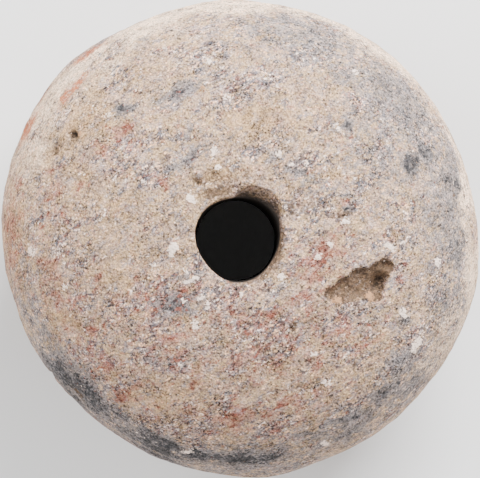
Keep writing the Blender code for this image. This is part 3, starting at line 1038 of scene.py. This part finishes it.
def clay_ground(shade, wash, streaks, calm_and_lit):
    """Sand and beige clay with pale grey and rose clouds and specks, and where it is busy.

    The clay is busy where broad noise, raised by the washes, is high, and less so on the smoother
    flank. Busy clay has more of the specks. The flank is tinted pale as painted light on the lit side.
    """
    tone = shade.raised(wash, streaks, 0.5)
    clouds = shade.raised(shade.noise(3.0, 4.0, 0.85, 0.011, STROKE), tone, 0.12)
    busy = shade.raised(shade.ramp(clouds, 0.550, 0.650), calm_and_lit, -0.4)
    sandy = shade.ramp(shade.noise(1.3, 4.0, 0.95, 0.013), 0.44, 0.56)
    ground = shade.mix(sandy, clay_rgb(BEIGE), clay_rgb(SAND))
    greyed = shade.raised(shade.noise(0.7, 3.0, 0.90, 0.019, STROKE), busy, 0.10)
    ground = tinted(shade, ground, shade.ramp(greyed, 0.51, 0.63), 0.85, PALE_GREY)
    blush = shade.raised(shade.noise(0.9, 4.0, 0.90, 0.027, STROKE), busy, 0.04)
    ground = tinted(shade, ground, shade.ramp(blush, 0.56, 0.66), 0.50, ROSE)
    # painted light: the flank on the lit side is tinted paler
    ground = tinted(shade, ground, calm_and_lit, 0.95, LIT_FLANK)
    for size_mm, shift, needed, gain, share, tint in GROUND_SPECKS:
        grains = specks(shade, size_mm, shift, needed, ((busy, gain),))
        ground = tinted(shade, ground, grains, share, tint)
    return ground, busy


def add_patches(shade, colour, rose, slate_and_shade, ochre):
    """Ochre washes, rose zones with rust specks, and cool grey zones with slate and dark specks.

    The heart of a strong patch is tinted once more. Along the lower left rim the dark grey hearts
    are partly real dark clay and partly painted shade.
    """
    colour = tinted(shade, colour, zone(shade, ochre, 0.8, 0.029, 0.15, 0.85), 0.70, OCHRE)
    rose_zone = zone(shade, rose, 0.8, 0.037, 0.15, 0.85)
    colour = tinted(shade, colour, rose_zone, 0.58, ROSE)
    colour = tinted(shade, colour, zone(shade, rose, 0.4, 0.047, 0.60, 1.10), 0.46, RUST)
    colour = tinted(shade, colour, zone(shade, slate_and_shade, 0.5, 0.053, 0.16, 0.56), 0.80, COOL_GREY)
    slate_zone = zone(shade, slate_and_shade, 0.45, 0.057, 0.47, 0.90)
    colour = tinted(shade, colour, slate_zone, 0.62, SLATE)
    # DARK_SLATE hearts: dark clay, and along the lower left rim partly painted shade
    colour = tinted(shade, colour, zone(shade, slate_and_shade, 0.5, 0.061, 0.70, 1.10), 0.72, DARK_SLATE)
    rust = specks(shade, 0.34, 0.041, 0.680, ((rose_zone, 0.165),))
    colour = tinted(shade, colour, rust, 0.80, RUST)
    dark = specks(shade, 0.36, 0.059, 0.700, ((slate_and_shade, 0.110), (slate_zone, 0.080)))
    return tinted(shade, colour, dark, 0.85, DARK_SLATE)


def add_grain(shade, colour, busy):
    """The light and dark grain of sandy clay, broad and fine, and painted shade in its scattered pores.

    The light is 0.99 + 2.4 broad + (3.4 + 1.4 busy) fine, where both noises swing round 0.
    """
    strength = shade.raised(3.4, busy, 1.4)
    fine = shade.swing(shade.noise(GRAIN_SIZE, 2.0, 0.7, 0.071), strength)
    broad = shade.swing(shade.noise(1.8, 4.0, 0.9, 0.073), 2.4)
    light = shade.maths("ADD", shade.maths("ADD", fine, broad), 0.99)
    lit = shade.mix(1.0, colour, light, "MULTIPLY")
    # painted shade in the scattered pores
    size = shade.maths("MULTIPLY", shade.noise(2.4, 1.0, 0.5, 0.089), 0.26)
    near = shade.maths("SUBTRACT", size, shade.cells(PORE_SPACING, 0.083))
    open_pore = shade.ramp(near, -0.02, 0.05)
    return shade.mix(shade.maths("MULTIPLY", open_pore, 0.8), lit, clay_rgb(PORE_SHADE))


def ragged(shade, field, size_mm, shift, low, high):
    """A field with its edge broken up by fine noise, ramped from low to high."""
    swing = shade.swing(shade.noise(size_mm, 2.0, 0.6, shift), 1.8)
    return shade.ramp(shade.maths("ADD", field, swing), low, high)


def add_stains_shade_and_grit(shade, colour, stains_and_shade, grit_and_hole_shade):
    """Orange streaks, umber dirt with painted shade on the mouth's worn edge, painted shade in the
    gouge, the pits and at the chip's foot, pale flecks and tan grains, and painted shade down the hole.
    """
    orange, umber, dark = stains_and_shade
    flecks, grains, hole = grit_and_hole_shade
    colour = tinted(shade, colour, zone(shade, orange, 0.3, 0.097, 0.35, 1.25), 0.88, ORANGE)
    earthy = shade.ramp(shade.noise(0.32, 3.0, 0.80, 0.131), 0.42, 0.60)
    earth = shade.mix(earthy, clay_rgb(UMBER), clay_rgb(TAN_EARTH))
    # umber dirt, with painted shade on the mouth's worn edge
    dirt_and_lip_shade = shade.maths("MULTIPLY", ragged(shade, umber, 0.30, 0.099, 0.20, 0.80), 0.90)
    colour = shade.mix(dirt_and_lip_shade, colour, earth)
    # painted shade in the gouge, the pits and at the chip's foot
    colour = tinted(shade, colour, ragged(shade, dark, 0.24, 0.103, 0.20, 0.90), 0.90, SHADE_BROWN)
    colour = tinted(shade, colour, ragged(shade, flecks, 0.22, 0.101, 0.40, 0.58), 0.90, PALE_GRIT)
    colour = tinted(shade, colour, specks(shade, 0.50, 0.107, 0.690), 0.75, PALE_GRIT)
    colour = shade.mix(ragged(shade, grains, 0.22, 0.109, 0.34, 0.50), colour, clay_rgb(TAN_GRAIN))
    # painted shade: the colour darkens down the hole
    return shade.mix(hole, colour, clay_rgb(HOLE_SHADE))


def clay_bump(shade):
    """Height in metres of the fine relief: sandy grain, small lumps, and pores sunk into them."""
    fine = shade.maths("MULTIPLY", shade.noise(GRAIN_SIZE, 2.0, 0.7, 0.071), GRAIN_RELIEF)
    bumpy = shade.raised(fine, shade.noise(0.55, 2.0, 0.6, 0.113), LUMP_RELIEF)
    round_pores = shade.ramp(shade.cells(PORE_SPACING, 0.083), 0.0, 0.14)
    return shade.raised(bumpy, round_pores, PORE_DEPTH)


def fired_clay():
    """Coarse low-fired clay, as the photograph shows it: matt and speckled.

    Its hollows hold dirt, and the deepest of them have painted shade.
    """
    material = bpy.data.materials.new("fired_clay")
    material.use_nodes = True
    shade = Shading(material)
    surface = material.node_tree.nodes["Principled BSDF"]
    rose, slate_and_shade, ochre = shade.field("patches")
    stains_and_shade = shade.field("stains_and_shade")
    grit_and_hole_shade = shade.field("grit_and_hole_shade")
    wash, streaks, calm_and_lit = shade.field("washes")
    colour, busy = clay_ground(shade, wash, streaks, calm_and_lit)
    colour = add_patches(shade, colour, rose, slate_and_shade, ochre)
    colour = add_grain(shade, colour, busy)
    colour = add_stains_shade_and_grit(shade, colour, stains_and_shade, grit_and_hole_shade)
    shade.join(colour, surface.inputs["Base Color"])
    uneven = shade.ramp(shade.noise(0.5, 2.0, 0.6, 0.127), -0.6, 1.4)
    shade.join(shade.raised(CLAY_ROUGHNESS, uneven, ROUGHNESS_SWING), surface.inputs["Roughness"])
    surface.inputs["Specular IOR Level"].default_value = CLAY_SHEEN
    bump = shade.node("ShaderNodeBump")
    bump.inputs["Strength"].default_value = 1.0
    bump.inputs["Distance"].default_value = 1.0
    shade.join(clay_bump(shade), bump.inputs["Height"])
    shade.join(bump.outputs["Normal"], surface.inputs["Normal"])
    return material


def make_whorl():
    """The skin as one piece that stands in for the solid."""
    points, pressed = skin_points()
    mesh = skin_mesh(points)
    paint(mesh, pressed)
    mesh.materials.append(fired_clay())
    whorl = bpy.data.objects.new("whorl_skin", mesh)
    bpy.context.scene.collection.objects.link(whorl)
    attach(whorl, "root")
    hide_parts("whorl")
    return whorl


def make_floor():
    """The plain pale floor that the whorl lies on."""
    half = FLOOR_SIZE / 2
    corners = [(-half, -half, 0), (half, -half, 0), (half, half, 0), (-half, half, 0)]
    mesh = bpy.data.meshes.new("floor")
    mesh.from_pydata(corners, [], [(0, 1, 2, 3)])
    material = bpy.data.materials.new("floor_white")
    material.use_nodes = True
    surface = material.node_tree.nodes["Principled BSDF"]
    surface.inputs["Base Color"].default_value = FLOOR_COLOUR
    surface.inputs["Roughness"].default_value = FLOOR_ROUGHNESS
    surface.inputs["Specular IOR Level"].default_value = FLOOR_SHEEN
    mesh.materials.append(material)
    floor = bpy.data.objects.new("floor", mesh)
    bpy.context.scene.collection.objects.link(floor)


def look_at(place, target, up):
    """The matrix that puts something at place with its -Z towards target and its Y near up."""
    back = (Vector(place) - Vector(target)).normalized()
    right = Vector(up).cross(back).normalized()
    turn = Matrix((right, back.cross(right), back)).transposed()
    return Matrix.Translation(place) @ turn.to_4x4()


def make_camera():
    """A camera that leans off the vertical towards its azimuth, with VIEW_WIDTH in the picture."""
    lean = math.radians(CAMERA_LEAN)
    around = math.radians(CAMERA_AZIMUTH)
    way = Vector((math.sin(lean) * math.cos(around), math.sin(lean) * math.sin(around), math.cos(lean)))
    data = bpy.data.cameras.new("camera")
    data.sensor_width = SENSOR_WIDTH
    data.lens = SENSOR_WIDTH * CAMERA_DISTANCE / VIEW_WIDTH
    data.clip_start = 0.01
    camera = bpy.data.objects.new("camera", data)
    place = Vector(CAMERA_TARGET) + way * CAMERA_DISTANCE
    camera.matrix_world = look_at(place, CAMERA_TARGET, (0, 1, 0))
    bpy.context.scene.collection.objects.link(camera)
    bpy.context.scene.camera = camera


def make_light(name, azimuth, height_angle, size, watts):
    """A square soft light that faces the whorl from LIGHT_DISTANCE away."""
    data = bpy.data.lights.new(name, "AREA")
    data.size = size
    data.energy = watts
    light = bpy.data.objects.new(name, data)
    place = Vector(direction_of(azimuth, height_angle)) * LIGHT_DISTANCE
    light.matrix_world = look_at(place, (0, 0, BELLY_HEIGHT), (0, 0, 1))
    bpy.context.scene.collection.objects.link(light)


def make_lights():
    """The LIGHTS, of which the key light is low and behind, and an evenly lit room."""
    for light in LIGHTS:
        make_light(*light)
    world = bpy.data.worlds.new("room")
    world.use_nodes = True
    world.node_tree.nodes["Background"].inputs["Color"].default_value = (1, 1, 1, 1)
    world.node_tree.nodes["Background"].inputs["Strength"].default_value = ROOM_LEVEL
    bpy.context.scene.world = world


make_whorl()
make_floor()
make_camera()
make_lights()
